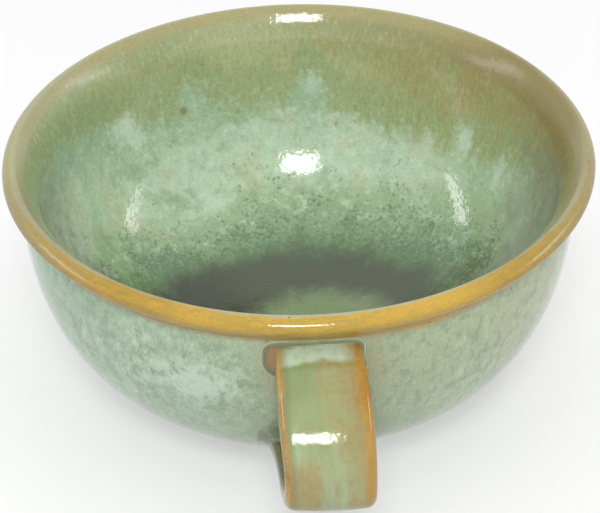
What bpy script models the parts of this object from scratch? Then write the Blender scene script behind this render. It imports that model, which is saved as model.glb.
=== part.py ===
"""Handled tea bowl in glazed stoneware.

A turned bowl with a turned-out lip stands on a luted foot ring. A pulled strap handle is luted to its wall,
and a collar of smoothed slip runs round each root of the strap.

Metres, +Z up. The origin lies on the resting plane at the middle of the outline seen from above, and the
handle points along -Y. Depths are measured down from the crown of the lip.
"""

import math

import bmesh
import bpy
from mathutils import Vector
from mathutils.geometry import interpolate_bezier

OBJECT_NAME = "tea_bowl"

# Bowl: outside of the lip, overall height, and the thickness of the wall at the neck and of the floor
RIM_RADIUS = 0.0650
BOWL_HEIGHT = 0.0600
WALL_THICKNESS = 0.0038
FLOOR_THICKNESS = 0.0040

# Lip: how far it turns out past the neck, its width across the top, the height of its rounded crown,
# and the drop over which the turn fades out on the outside and on the inside
LIP_FLARE = 0.0035
LIP_WIDTH = 0.0044
LIP_CROWN = 0.0015
LIP_DROP_OUTSIDE = 0.0050
LIP_DROP_INSIDE = 0.0055

# Belly: a superellipse between neck and pole, with one exponent for radius and one for depth. The inside is
# less full than the outside, so that the wall thickens from the neck to the floor, as a thrown wall does
BELLY_FULLNESS_EXPONENT = 3.25
BELLY_DROOP_EXPONENT = 2.93
INSIDE_FULLNESS_EXPONENT = 2.60
INSIDE_DROOP_EXPONENT = 2.50
BELLY_POLE_RISE = 0.0023
BASE_RISE = 0.0035

# Foot ring: outside radius and width at the base, how far the sides draw in, and the rounding of its edges
FOOT_RADIUS = 0.0310
FOOT_WIDTH = 0.0056
FOOT_TAPER = 0.0006
FOOT_ROUND = 0.0008

# Strap handle: its section in the run and at its roots, and the share of the run that blends into a root
STRAP_WIDTH = 0.0179
UPPER_ROOT_WIDTH = 0.0168
LOWER_ROOT_WIDTH = 0.0212
STRAP_THICKNESS = 0.0050
ROOT_THICKNESS = 0.0062
STRAP_EDGE_RADIUS = 0.0020
ROOT_BLEND = 0.32

# Strap's route: its reach past the neck, the depths of its roots and its outermost point, and its slopes
HANDLE_REACH = 0.0235
UPPER_ROOT_DEPTH = 0.0108
KNUCKLE_DEPTH = 0.0282
LOWER_ROOT_DEPTH = 0.0368
UPPER_ARM_SLOPE = math.radians(8)
LOWER_ARM_SLOPE = math.radians(20)

# Pull of the strap's curve at its roots and on both sides of the knuckle, and its start inside the wall
UPPER_ROOT_PULL = 0.0130
KNUCKLE_PULL_ABOVE = 0.0090
KNUCKLE_PULL_BELOW = 0.0070
LOWER_ROOT_PULL = 0.0125
ROOT_SINK = 0.0026

# Slip collars: spread on the wall, height along the strap, and the thickness of their thin edge
COLLAR_SPREAD = 0.0015
COLLAR_HEIGHT = 0.0022
COLLAR_EDGE = 0.0005

# Bed of slip left between pieces that are luted together
SEAT_GAP = 0.0003

# Facets
TURN_STEPS = 80
BELLY_STEPS = 13
LIP_STEPS = 5
CROWN_STEPS = 6
FOOT_SEAT_STEPS = 4
EDGE_STEPS = 4
STRAP_STEPS = 15
COLLAR_STEPS = 4
SMOOTH_ANGLE = math.radians(40)
MERGE_DISTANCE = 0.00001

# Direction across the strap, the step over which the wall's slope is read, and the roundest edge of a strap
# as a share of its thickness
ACROSS = Vector((1.0, 0.0, 0.0))
SLOPE_STEP = 0.0005
ROUNDEST_EDGE = 0.45

# Sizes that follow from the ones above
NECK_RADIUS = RIM_RADIUS - LIP_FLARE
INNER_NECK_RADIUS = NECK_RADIUS - WALL_THICKNESS
INNER_LIP_FLARE = RIM_RADIUS - LIP_WIDTH - INNER_NECK_RADIUS
BELLY_DEPTH = BOWL_HEIGHT - BELLY_POLE_RISE
INNER_DEPTH = BOWL_HEIGHT - BASE_RISE - FLOOR_THICKNESS
KNUCKLE_RADIUS = NECK_RADIUS + HANDLE_REACH
AXIS_SHIFT = (KNUCKLE_RADIUS - RIM_RADIUS) / 2


def belly_radius(depth, neck, pole, fullness, droop):
    """Radius of a belly curve at a depth: neck * (1 - (depth / pole)^droop)^(1 / fullness)."""
    share = 1 - min(depth / pole, 1.0) ** droop
    return neck * share ** (1 / fullness)


def belly_depth(radius, neck, pole, fullness, droop):
    """Depth of a belly curve at a radius, the inverse of belly_radius."""
    share = 1 - min(radius / neck, 1.0) ** fullness
    return pole * share ** (1 / droop)


def lip_turn(depth, flare, drop):
    """Outward turn of the lip: full at the foot of its crown, fading smoothly to nothing over the drop."""
    t = min(max((depth - LIP_CROWN) / drop, 0.0), 1.0)
    return flare * (1 - t) ** 2 * (1 + 2 * t)


def outer_radius(depth):
    """Radius of the outside of the bowl at a depth."""
    belly = belly_radius(depth, NECK_RADIUS, BELLY_DEPTH, BELLY_FULLNESS_EXPONENT, BELLY_DROOP_EXPONENT)
    return belly + lip_turn(depth, LIP_FLARE, LIP_DROP_OUTSIDE)


def inner_radius(depth):
    """Radius of the inside of the bowl at a depth."""
    exponents = INSIDE_FULLNESS_EXPONENT, INSIDE_DROOP_EXPONENT
    belly = belly_radius(depth, INNER_NECK_RADIUS, INNER_DEPTH, *exponents)
    return belly + lip_turn(depth, INNER_LIP_FLARE, LIP_DROP_INSIDE)


def underside_height(radius):
    """Height of the bowl's underside at a radius: the belly curve, flattened over the base."""
    depth = belly_depth(radius, NECK_RADIUS, BELLY_DEPTH, BELLY_FULLNESS_EXPONENT, BELLY_DROOP_EXPONENT)
    return max(BASE_RISE, BOWL_HEIGHT - depth)


def wall_depths(drop, end, pole, droop):
    """Depths down one side of the wall: even steps over the lip's drop, then even turns of the belly.

    A turn is the superellipse's angle, with depth = pole * sin(angle)^(2 / droop).
    """
    depths = [LIP_CROWN + drop * i / LIP_STEPS for i in range(LIP_STEPS)]
    power = droop / 2
    first = math.asin(((LIP_CROWN + drop) / pole) ** power)
    last = math.asin(min(end / pole, 1.0) ** power)
    turns = [first + (last - first) * i / BELLY_STEPS for i in range(BELLY_STEPS + 1)]
    return depths + [pole * math.sin(turn) ** (1 / power) for turn in turns]


def outside_points(clearance=0.0):
    """Profile of the outside from the lip down to the edge of the base, moved out by a clearance."""
    depths = wall_depths(LIP_DROP_OUTSIDE, BOWL_HEIGHT - BASE_RISE, BELLY_DEPTH, BELLY_DROOP_EXPONENT)
    return [(outer_radius(depth) + clearance, BOWL_HEIGHT - depth) for depth in depths]


def inside_points():
    """Profile of the inside from the middle of the floor up to the lip."""
    depths = reversed(wall_depths(LIP_DROP_INSIDE, INNER_DEPTH, INNER_DEPTH, INSIDE_DROOP_EXPONENT))
    return [(inner_radius(depth), BOWL_HEIGHT - depth) for depth in depths]


def crown_points():
    """Half ellipse over the lip, between the tops of the inside and outside walls."""
    middle = RIM_RADIUS - LIP_WIDTH / 2
    angles = [math.pi * (1 - i / CROWN_STEPS) for i in range(1, CROWN_STEPS)]
    height = BOWL_HEIGHT - LIP_CROWN
    return [(middle + LIP_WIDTH / 2 * math.cos(a), height + LIP_CROWN * math.sin(a)) for a in angles]


def corner_arc(centre, radius, start, end):
    """Points of an arc about a centre, between two angles."""
    angles = [start + (end - start) * i / EDGE_STEPS for i in range(EDGE_STEPS + 1)]
    return [(centre[0] + radius * math.cos(a), centre[1] + radius * math.sin(a)) for a in angles]


def foot_points():
    """Closed profile of the foot ring: its outside, its resting face, its inside and its seat.

    The seat follows the bowl's underside and leaves the slip bed to it.
    """
    inside = FOOT_RADIUS - FOOT_WIDTH
    outer_centre = (FOOT_RADIUS - FOOT_TAPER - FOOT_ROUND, FOOT_ROUND)
    inner_centre = (inside + FOOT_TAPER + FOOT_ROUND, FOOT_ROUND)
    radii = [inside + FOOT_WIDTH * i / FOOT_SEAT_STEPS for i in range(FOOT_SEAT_STEPS + 1)]
    seat = [(radius, underside_height(radius) - SEAT_GAP) for radius in radii]
    points = corner_arc(outer_centre, FOOT_ROUND, 0.0, -math.pi / 2)
    points += corner_arc(inner_centre, FOOT_ROUND, -math.pi / 2, -math.pi)
    return points + seat


def handle_point(radius, depth):
    """Place of a point of the handle's middle plane, from its radius and depth."""
    return Vector((0.0, -radius, BOWL_HEIGHT - depth))


def handle_path():
    """Centreline of the strap: a cubic from the upper root to the knuckle, and one on to the lower root."""
    upper_out = Vector((0.0, -math.cos(UPPER_ARM_SLOPE), -math.sin(UPPER_ARM_SLOPE)))
    lower_out = Vector((0.0, -math.cos(LOWER_ARM_SLOPE), math.sin(LOWER_ARM_SLOPE)))
    down = Vector((0.0, 0.0, -1.0))
    upper = handle_point(outer_radius(UPPER_ROOT_DEPTH), UPPER_ROOT_DEPTH) - upper_out * ROOT_SINK
    knuckle = handle_point(KNUCKLE_RADIUS - STRAP_THICKNESS / 2, KNUCKLE_DEPTH)
    lower = handle_point(outer_radius(LOWER_ROOT_DEPTH), LOWER_ROOT_DEPTH) - lower_out * ROOT_SINK
    above = knuckle - down * KNUCKLE_PULL_ABOVE
    below = knuckle + down * KNUCKLE_PULL_BELOW
    upper_pull = upper + upper_out * (UPPER_ROOT_PULL + ROOT_SINK)
    lower_pull = lower + lower_out * (LOWER_ROOT_PULL + ROOT_SINK)
    first = interpolate_bezier(upper, upper_pull, above, knuckle, STRAP_STEPS + 1)
    second = interpolate_bezier(knuckle, below, lower_pull, lower, STRAP_STEPS + 1)
    return first[:-1] + second


def strap_ring(centre, along, width, thickness, rounding):
    """Rounded rectangle across the strap, its width on X and its thickness square to X and to the run.

    The rounding of its edges is limited by the thickness.
    """
    outward = ACROSS.cross(along).normalized()
    edge = min(rounding, ROUNDEST_EDGE * thickness)
    half_width = width / 2 - edge
    half_thickness = thickness / 2 - edge
    ring = []
    for quarter, (side, face) in enumerate(((1, 1), (-1, 1), (-1, -1), (1, -1))):
        start = quarter * math.pi / 2
        corner = (side * half_width, face * half_thickness)
        for x, y in corner_arc(corner, edge, start, start + math.pi / 2):
            ring.append(centre + ACROSS * x + outward * y)
    return ring


def root_share(share):
    """How much of a root's section shows at a share of the run from it: 1 at the root, 0 past the blend."""
    return max(1 - share / ROOT_BLEND, 0.0) ** 2


def strap_rings(clearance=0.0):
    """Sections of the strap along its centreline, each side moved out by a clearance.

    The section swells to its root thickness and blends to the width of the root at both ends.
    """
    path = handle_path()
    last = len(path) - 1
    rings = []
    for i, centre in enumerate(path):
        along = (path[min(i + 1, last)] - path[max(i - 1, 0)]).normalized()
        upper = root_share(i / last)
        lower = root_share(1 - i / last)
        width = STRAP_WIDTH + 2 * clearance
        width += (UPPER_ROOT_WIDTH - STRAP_WIDTH) * upper
        width += (LOWER_ROOT_WIDTH - STRAP_WIDTH) * lower
        thickness = STRAP_THICKNESS + 2 * clearance
        thickness += (ROOT_THICKNESS - STRAP_THICKNESS) * (upper + lower)
        rings.append(strap_ring(centre, along, width, thickness, STRAP_EDGE_RADIUS + clearance))
    return rings


def wall_normal(depth):
    """Outward direction square to the wall at a depth, in the handle's middle plane."""
    below = handle_point(outer_radius(depth + SLOPE_STEP), depth + SLOPE_STEP)
    above = handle_point(outer_radius(depth - SLOPE_STEP), depth - SLOPE_STEP)
    return ACROSS.cross(below - above).normalized()


def collar_rings(root_depth, out_slope, root_width):
    """Sections of a slip collar, laid parallel to the wall and stacked along the root of the strap.

    Off the wall the spread past the strap follows a hollow quarter ellipse down to the thin edge. Inside
    the wall it goes on growing, so that the trimmed collar keeps its full spread all round.
    """
    wall = handle_point(outer_radius(root_depth), root_depth)
    normal = wall_normal(root_depth)
    run = Vector((0.0, -math.cos(out_slope), -math.sin(out_slope)))
    slanted_thickness = ROOT_THICKNESS / abs(run.dot(normal))
    rings = []
    for i in range(-COLLAR_STEPS, COLLAR_STEPS + 1):
        share = i / COLLAR_STEPS
        swell = 1 - math.sqrt(1 - (1 - share) ** 2) if share > 0 else 1 - share
        spread = COLLAR_EDGE + (COLLAR_SPREAD - COLLAR_EDGE) * swell
        margin = 2 * (SEAT_GAP + spread)
        centre = wall + run * (COLLAR_HEIGHT * share)
        ring = strap_ring(
            centre, normal, root_width + margin, slanted_thickness + margin, STRAP_EDGE_RADIUS + spread
        )
        rings.append(ring)
    return rings


def glaze(name, colour, roughness):
    """Principled material of one piece, with its colour and roughness."""
    material = bpy.data.materials.new(name)
    material.use_nodes = True
    shader = material.node_tree.nodes["Principled BSDF"]
    shader.inputs["Base Color"].default_value = (*colour, 1.0)
    shader.inputs["Roughness"].default_value = roughness
    shader.inputs["Metallic"].default_value = 0.0
    material.diffuse_color = (*colour, 1.0)
    return material


def turned(name, points, closed):
    """Object whose profile in the XZ plane is turned about Z, from points (radius, height)."""
    mesh = bpy.data.meshes.new(name)
    count = len(points)
    edges = [(i, (i + 1) % count) for i in range(count if closed else count - 1)]
    mesh.from_pydata([(radius, 0.0, height) for radius, height in points], edges, [])
    piece = bpy.data.objects.new(name, mesh)
    screw = piece.modifiers.new("turn", "SCREW")
    screw.axis = "Z"
    screw.steps = TURN_STEPS
    screw.render_steps = TURN_STEPS
    screw.use_smooth_shade = True
    screw.use_merge_vertices = True
    screw.merge_threshold = MERGE_DISTANCE
    return piece


def lofted(name, rings):
    """Object whose closed skin joins a row of rings of equal count, capped at both ends."""
    shape = bmesh.new()
    loops = [[shape.verts.new(point) for point in ring] for ring in rings]
    count = len(loops[0])
    for lower, upper in zip(loops, loops[1:]):
        for i in range(count):
            j = (i + 1) % count
            shape.faces.new((lower[i], lower[j], upper[j], upper[i]))
    shape.faces.new(reversed(loops[0]))
    shape.faces.new(loops[-1])
    bmesh.ops.recalc_face_normals(shape, faces=shape.faces)
    mesh = bpy.data.meshes.new(name)
    shape.to_mesh(mesh)
    shape.free()
    mesh.shade_smooth()
    mesh.set_sharp_from_angle(angle=SMOOTH_ANGLE)
    return bpy.data.objects.new(name, mesh)


def cut(piece, cutter):
    """Take a cutter's volume away from a piece."""
    boolean = piece.modifiers.new(cutter.name, "BOOLEAN")
    boolean.operation = "DIFFERENCE"
    boolean.solver = "EXACT"
    boolean.object = cutter


def place(piece, collection, parent, material=None):
    """Link an object, hang it on the assembly and give it its material; without one it is a cutter."""
    collection.objects.link(piece)
    piece.parent = parent
    if material:
        piece.data.materials.append(material)
    else:
        piece.hide_render = True
        piece.display_type = "WIRE"


def make_bowl_body():
    """Bowl in one turning: the inside up from the floor, over the lip, and down the outside to the base."""
    points = inside_points() + crown_points() + outside_points()
    points[0] = (0.0, points[0][1])
    return turned("bowl_body", points + [(0.0, BASE_RISE)], closed=False)


def make_wall_cutter():
    """Solid body of the bowl's outside, larger by the slip bed, which trims what is luted to the wall."""
    points = [(0.0, BOWL_HEIGHT), *outside_points(SEAT_GAP), (0.0, BASE_RISE)]
    return turned("wall_seat_cutter", points, closed=False)


def main():
    """Build the bowl, its foot ring, its strap handle and the two slip collars."""
    for old in list(bpy.data.objects):
        bpy.data.objects.remove(old, do_unlink=True)

    pieces = bpy.data.collections.new(OBJECT_NAME)
    cutters = bpy.data.collections.new(OBJECT_NAME + "_cutters")
    bpy.context.scene.collection.children.link(pieces)
    bpy.context.scene.collection.children.link(cutters)

    axis = bpy.data.objects.new(OBJECT_NAME + "_axis", None)
    axis.location = (0.0, AXIS_SHIFT, 0.0)
    pieces.objects.link(axis)

    wall_cutter = make_wall_cutter()
    strap_cutter = lofted("strap_seat_cutter", strap_rings(SEAT_GAP))
    place(wall_cutter, cutters, axis)
    place(strap_cutter, cutters, axis)

    bowl = make_bowl_body()
    foot = turned("foot_ring", foot_points(), closed=True)
    strap = lofted("handle_strap", strap_rings())
    upper = lofted("upper_slip_collar", collar_rings(UPPER_ROOT_DEPTH, UPPER_ARM_SLOPE, UPPER_ROOT_WIDTH))
    lower = lofted("lower_slip_collar", collar_rings(LOWER_ROOT_DEPTH, -LOWER_ARM_SLOPE, LOWER_ROOT_WIDTH))
    cut(strap, wall_cutter)
    for collar in (upper, lower):
        cut(collar, wall_cutter)
        cut(collar, strap_cutter)

    place(bowl, pieces, axis, glaze("sage_glaze", (0.36, 0.41, 0.30), 0.16))
    place(foot, pieces, axis, glaze("bare_stoneware", (0.46, 0.36, 0.25), 0.75))
    place(strap, pieces, axis, glaze("handle_glaze", (0.38, 0.37, 0.22), 0.16))
    place(upper, pieces, axis, glaze("upper_slip_glaze", (0.48, 0.46, 0.34), 0.2))
    place(lower, pieces, axis, glaze("lower_slip_glaze", (0.40, 0.38, 0.27), 0.2))


main()
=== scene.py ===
"""Looks of a handled tea bowl in glazed stoneware.

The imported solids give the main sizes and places. Each piece here is a smooth surface in the place of its
solid, dressed in a procedural glaze, in the same frame: metres, +Z up, the handle towards -Y.

Azimuths run round the bowl's axis from the back, +Y, towards +X. A run is a distance along the bowl's
outline from a line just outside the crown of its lip, negative on the inside and positive on the outside. A
fall is a run's length down one side. A depth is measured straight down from the crown.
"""

import logging
import math
from abc import ABC, abstractmethod
from dataclasses import dataclass
from enum import Enum
from functools import cached_property

import bpy
import numpy as np
from mathutils import Matrix, Quaternion, Vector

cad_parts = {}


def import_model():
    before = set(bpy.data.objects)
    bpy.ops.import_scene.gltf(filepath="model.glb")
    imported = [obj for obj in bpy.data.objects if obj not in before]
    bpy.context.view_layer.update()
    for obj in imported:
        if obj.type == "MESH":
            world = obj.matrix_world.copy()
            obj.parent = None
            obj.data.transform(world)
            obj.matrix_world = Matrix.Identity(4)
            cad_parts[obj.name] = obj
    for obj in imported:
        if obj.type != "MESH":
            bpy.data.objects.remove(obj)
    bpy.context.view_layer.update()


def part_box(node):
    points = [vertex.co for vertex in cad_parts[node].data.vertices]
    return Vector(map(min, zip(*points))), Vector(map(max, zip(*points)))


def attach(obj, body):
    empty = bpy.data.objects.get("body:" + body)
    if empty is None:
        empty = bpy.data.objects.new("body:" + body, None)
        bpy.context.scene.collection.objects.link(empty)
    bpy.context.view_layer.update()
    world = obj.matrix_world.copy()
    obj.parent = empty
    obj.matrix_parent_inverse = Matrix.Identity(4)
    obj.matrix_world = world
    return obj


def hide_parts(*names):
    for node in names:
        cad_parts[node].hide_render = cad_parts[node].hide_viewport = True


Array = np.ndarray
Colour = tuple[float, float, float, float]
Socket = bpy.types.NodeSocket
Value = float | Socket
Layer = Value | Colour
Triple = tuple[float, float, float]

LOG = logging.getLogger("tea_bowl")
BODY = "root"


def srgb(red: float, green: float, blue: float) -> Colour:
    """Scene-linear colour of an 8-bit one.

    Each channel c, as a share of 255, becomes ((c + 0.055) / 1.055)^2.4, or c / 12.92 in the dark toe.

    Args:
        red: Red channel, 0 to 255.
        green: Green channel, 0 to 255.
        blue: Blue channel, 0 to 255.

    Returns:
        Linear red, green, blue and full alpha.
    """
    shares = np.array([red, green, blue]) / 255
    linear = np.where(shares > 0.04045, ((shares + 0.055) / 1.055) ** 2.4, shares / 12.92)
    return (*linear.tolist(), 1.0)


def smoothstep(value: Array, low: float, high: float) -> Array:
    """Smooth rise from 0 at low to 1 at high: t^2 * (3 - 2t), with t the clipped share of the way."""
    t = np.clip((value - low) / (high - low), 0.0, 1.0)
    return t * t * (3 - 2 * t)


def running_length(points: Array) -> Array:
    """Length along a row of points from its first one: the running sum of the steps between neighbours."""
    steps = np.linalg.norm(np.diff(points, axis=0), axis=1)
    return np.concatenate([[0.0], np.cumsum(steps)])


def skin(name: str, points: Array, poles: Array | None = None) -> bpy.types.Object:
    """Closed skin over a grid whose rows are closed rings.

    The faces are the grid's squares. Poles close the first and the last ring with fans; without poles the
    last ring joins the first. A negative volume, the sum of a . (b x c) / 6, turns all faces round.

    Args:
        name: Name of the object and of its mesh.
        points: Grid of places, of shape (rows, columns, 3).
        poles: Two places that close the first and the last ring.

    Returns:
        The object, linked to the scene and shaded smooth, with its faces outwards.
    """
    rows, columns, _ = points.shape
    index = np.arange(rows * columns).reshape(rows, columns)
    beside = np.roll(index, -1, axis=1)
    if poles is None:
        squares = np.stack([index, beside, np.roll(beside, -1, 0), np.roll(index, -1, 0)], -1)
        corners = points.reshape(-1, 3)
        fans = np.empty((0, 3), int)
    else:
        squares = np.stack([index[:-1], beside[:-1], beside[1:], index[1:]], -1)
        corners = np.vstack([points.reshape(-1, 3), poles])
        first = np.full(columns, rows * columns)
        fans = np.concatenate([
            np.stack([first, beside[0], index[0]], -1),
            np.stack([first + 1, index[-1], beside[-1]], -1),
        ])
    squares = squares.reshape(-1, 4)
    triangles = np.concatenate([squares[:, :3], squares[:, [0, 2, 3]], fans])
    a, b, c = (corners[triangles[:, k]] for k in range(3))
    if np.einsum("ij,ij->", a, np.cross(b, c)) < 0:
        squares = squares[:, ::-1]
        fans = fans[:, ::-1]
    mesh = bpy.data.meshes.new(name)
    mesh.from_pydata(corners.tolist(), [], squares.tolist() + fans.tolist())
    mesh.shade_smooth()
    piece = bpy.data.objects.new(name, mesh)
    bpy.context.scene.collection.objects.link(piece)
    return piece


def paint(piece: bpy.types.Object, **layers: Array) -> None:
    """Store numbers, or vectors, for each point of a skin; a pole takes the mean of its ring.

    Args:
        piece: Object made by skin.
        layers: Grids of shape (rows, columns) or (rows, columns, 3), by the names that the finish reads.
    """
    mesh = piece.data
    for name, values in layers.items():
        kind, key = ("FLOAT", "value") if values.ndim == 2 else ("FLOAT_VECTOR", "vector")
        flat = values.reshape(values.shape[0] * values.shape[1], -1)
        if len(mesh.vertices) > len(flat):
            flat = np.vstack([flat, values[0].mean(0).reshape(1, -1), values[-1].mean(0).reshape(1, -1)])
        layer = mesh.attributes.new(name, kind, "POINT")
        layer.data.foreach_set(key, flat.astype(np.float32).ravel())


def circle(count: int) -> Array:
    """Azimuths at even steps round the whole circle."""
    return np.linspace(0.0, 2 * math.pi, count, endpoint=False)


def revolve(radius: Array, height: Array, azimuth: Array, axis_y: float) -> Array:
    """Grid of places on a turned outline: (r * sin(azimuth), axis + r * cos(azimuth), z).

    Args:
        radius: Radius of each row.
        height: Height of each row.
        azimuth: Azimuth of each column.
        axis_y: Place of the upright axis along Y.

    Returns:
        Places of shape (rows, columns, 3).
    """
    x = radius[:, None] * np.sin(azimuth)
    y = axis_y + radius[:, None] * np.cos(azimuth)
    return np.stack([x, y, np.repeat(height[:, None], len(azimuth), 1)], -1)


class Blend(Enum):
    """Ways in which one colour is laid over another."""

    COVER = "MIX"
    SHADE = "MULTIPLY"


@dataclass(frozen=True)
class Grain:
    """Noise pattern: the size of its lumps in metres, its octaves and their fading, and its stretch.

    A pattern with an along is read on the flow and drawn out along it, to 1 / along of its size.
    """

    size: float
    detail: float = 2.0
    rough: float = 0.5
    along: float | None = None


class NodeGraph:
    """Node tree with a short method for each kind of step in it."""

    def __init__(self, tree: bpy.types.NodeTree) -> None:
        """Take up a node tree."""
        self.tree = tree

    def add(self, kind: str, **settings: object) -> bpy.types.Node:
        """New node of a kind, with its settings."""
        node = self.tree.nodes.new(kind)
        for key, value in settings.items():
            setattr(node, key, value)
        return node

    def feed(self, sockets: bpy.types.bpy_prop_collection, **values: Layer) -> None:
        """Feed sockets by their names, with a low line in the place of each space."""
        for name, value in values.items():
            self.join(sockets[name.replace("_", " ")], value)

    def join(self, socket: Socket, value: Layer | Triple) -> None:
        """Link a socket to another one, or set its own value."""
        if isinstance(value, bpy.types.NodeSocket):
            self.tree.links.new(value, socket)
        else:
            socket.default_value = value

    def work(self, kind: str, operation: str, *terms: Value | Triple) -> Socket:
        """Result of an operation of a kind of node on its terms."""
        node = self.add(kind, operation=operation)
        for socket, term in zip(node.inputs, terms):
            self.join(socket, term)
        return node.outputs[0]

    def math(self, operation: str, *terms: Value) -> Socket:
        """Result of an operation on numbers."""
        return self.work("ShaderNodeMath", operation, *terms)

    def seen(self) -> Socket:
        """1 for rays of the camera and of reflections, 0 for rays that light a surface."""
        rays = self.add("ShaderNodeLightPath").outputs
        mirror = self.math("MAXIMUM", rays["Is Glossy Ray"], rays["Is Transmission Ray"])
        return self.math("MAXIMUM", rays["Is Camera Ray"], mirror)


class GlazeGraph(NodeGraph):
    """Node tree of one finish."""

    speck_soft: float = 0.08
    speck_fade: tuple[float, float] = (1.25, 0.6)

    def __init__(self, name: str) -> None:
        """Start a material with a bare principled shader."""
        self.material = bpy.data.materials.new(name)
        self.material.use_nodes = True
        super().__init__(self.material.node_tree)
        self.shader = self.tree.nodes["Principled BSDF"].inputs

    @cached_property
    def place(self) -> Socket:
        """Place of the point on the object, in metres."""
        return self.add("ShaderNodeTexCoord").outputs["Object"]

    @cached_property
    def flow(self) -> Socket:
        """Painted place, unrolled so that its third part is the way that the glaze runs."""
        return self.add("ShaderNodeAttribute", attribute_name="flow").outputs["Vector"]

    def read(self, name: str) -> Socket:
        """Number painted on the piece under a name."""
        return self.add("ShaderNodeAttribute", attribute_name=name).outputs["Fac"]

    def times(self, share: Value, *others: Value) -> Value:
        """Product of shares."""
        for other in others:
            share = self.math("MULTIPLY", share, other)
        return share

    def between(self, share: Socket, low: float, high: float) -> Socket:
        """Number that a share leads to from low to high: low + share * (high - low)."""
        return self.math("MULTIPLY_ADD", share, high - low, low)

    def sway(self, base: Value, *patterns: tuple[Socket, float]) -> Socket:
        """Base moved to and fro: base + (pattern - 0.5) * reach, for each pattern and its reach."""
        for pattern, reach in patterns:
            base = self.math("MULTIPLY_ADD", self.math("SUBTRACT", pattern, 0.5), reach, base)
        return base

    def band(self, value: Socket, low: float, high: float) -> Socket:
        """Smooth step from 0 at low to 1 at high, falling where low is the larger."""
        node = self.add("ShaderNodeMapRange", interpolation_type="SMOOTHSTEP")
        self.feed(node.inputs, Value=value, From_Min=low, From_Max=high)
        return node.outputs[0]

    def window(self, value: Socket, low: float, high: float, soft: float) -> Socket:
        """Smooth window that is 1 between low and high, and 0 a soft step outside them."""
        return self.times(self.band(value, low - soft, low), self.band(value, high + soft, high))

    def _texture(self, kind: str, size: float, vector: Socket) -> bpy.types.Node:
        """Texture read at a vector, with features of a size in metres."""
        node = self.add(kind)
        self.feed(node.inputs, Vector=vector, Scale=1 / size)
        return node

    def noise(self, grain: Grain, vector: Socket | None = None) -> Socket:
        """Cloud noise about 0.5, read at a vector, or else at the point's place or on the flow."""
        if vector is None and grain.along is None:
            vector = self.place
        elif vector is None:
            vector = self.work("ShaderNodeVectorMath", "MULTIPLY", self.flow, (1.0, 1.0, grain.along))
        node = self._texture("ShaderNodeTexNoise", grain.size, vector)
        self.feed(node.inputs, Detail=grain.detail, Roughness=grain.rough)
        return node.outputs[0]

    def ruffle(self, size: float, reach: float) -> Socket:
        """Place shaken by noise, which frays the edges of what is drawn with it."""
        shake = self._texture("ShaderNodeTexNoise", size, self.place).outputs["Color"]
        return self.work("ShaderNodeVectorMath", "MULTIPLY_ADD", shake, (reach, reach, reach), self.place)

    def specks(self, vector: Socket, pitch: float, radius: float, share: Value) -> Socket:
        """Round specks on a share of the cells of a scattered pattern.

        A cell has a speck where its own random number lies under the share, and the speck fades out at its
        radius from the cell's point.

        Args:
            vector: Place at which the pattern is read.
            pitch: Mean distance between cells, in metres.
            radius: Radius of a speck, in metres.
            share: Share of the cells that have a speck, 0 to 1.

        Returns:
            1 on a speck and 0 elsewhere.
        """
        cells = self._texture("ShaderNodeTexVoronoi", pitch, vector).outputs
        number = self.add("ShaderNodeSeparateColor")
        self.join(number.inputs[0], cells["Color"])
        chosen = self.band(self.math("SUBTRACT", share, number.outputs[0]), 0.0, self.speck_soft)
        outer, inner = (radius / pitch * fade for fade in self.speck_fade)
        return self.times(chosen, self.band(cells["Distance"], outer, inner))

    def mix(self, under: Layer, over: Layer, *shares: Value, blend: Blend = Blend.COVER) -> Socket:
        """One colour laid over another by the product of the shares.

        Args:
            under: Lower colour.
            over: Upper colour.
            shares: Shares of the upper colour that show, 0 to 1.
            blend: Way of laying.

        Returns:
            The mixed colour.
        """
        node = self.add("ShaderNodeMix", data_type="RGBA", blend_type=blend.value, clamp_factor=True)
        self.join(node.inputs["Factor"], self.times(*shares))
        colours = [socket for socket in node.inputs if socket.type == "RGBA"]
        for socket, colour in zip(colours, (under, over)):
            self.join(socket, colour)
        return next(socket for socket in node.outputs if socket.type == "RGBA")

    def ramp(self, value: Socket, stops: list[tuple[float, Colour]]) -> Socket:
        """Colour read off a row of stops, each a position from 0 to 1 and its colour."""
        node = self.add("ShaderNodeValToRGB")
        scale = node.color_ramp.elements
        while len(scale) < len(stops):
            scale.new(1.0)
        for element, (position, colour) in zip(scale, stops):
            element.position = position
            element.color = colour
        self.join(node.inputs[0], value)
        return node.outputs[0]

    def finish(self, colour: Layer, roughness: Value, relief: Socket, depth: float) -> bpy.types.Material:
        """Feed the shader.

        Args:
            colour: Base colour.
            roughness: Roughness of the surface.
            relief: Height pattern, 0 to 1.
            depth: Real height of the relief, in metres.

        Returns:
            The finished material.
        """
        bump = self.add("ShaderNodeBump")
        self.feed(bump.inputs, Strength=1.0, Distance=depth, Height=relief)
        self.feed(self.shader, Base_Color=colour, Roughness=roughness, Normal=bump.outputs["Normal"])
        return self.material


@dataclass
class Coat:
    """Colour built up on a graph in layers, each by the product of its shares."""

    graph: GlazeGraph
    colour: Layer

    def tint(self, over: Layer, *shares: Value) -> None:
        """Cover what is there with a colour."""
        self.colour = self.graph.mix(self.colour, over, *shares)

    def shade(self, over: Layer, *shares: Value) -> None:
        """Darken what is there by a colour."""
        self.colour = self.graph.mix(self.colour, over, *shares, blend=Blend.SHADE)


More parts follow.
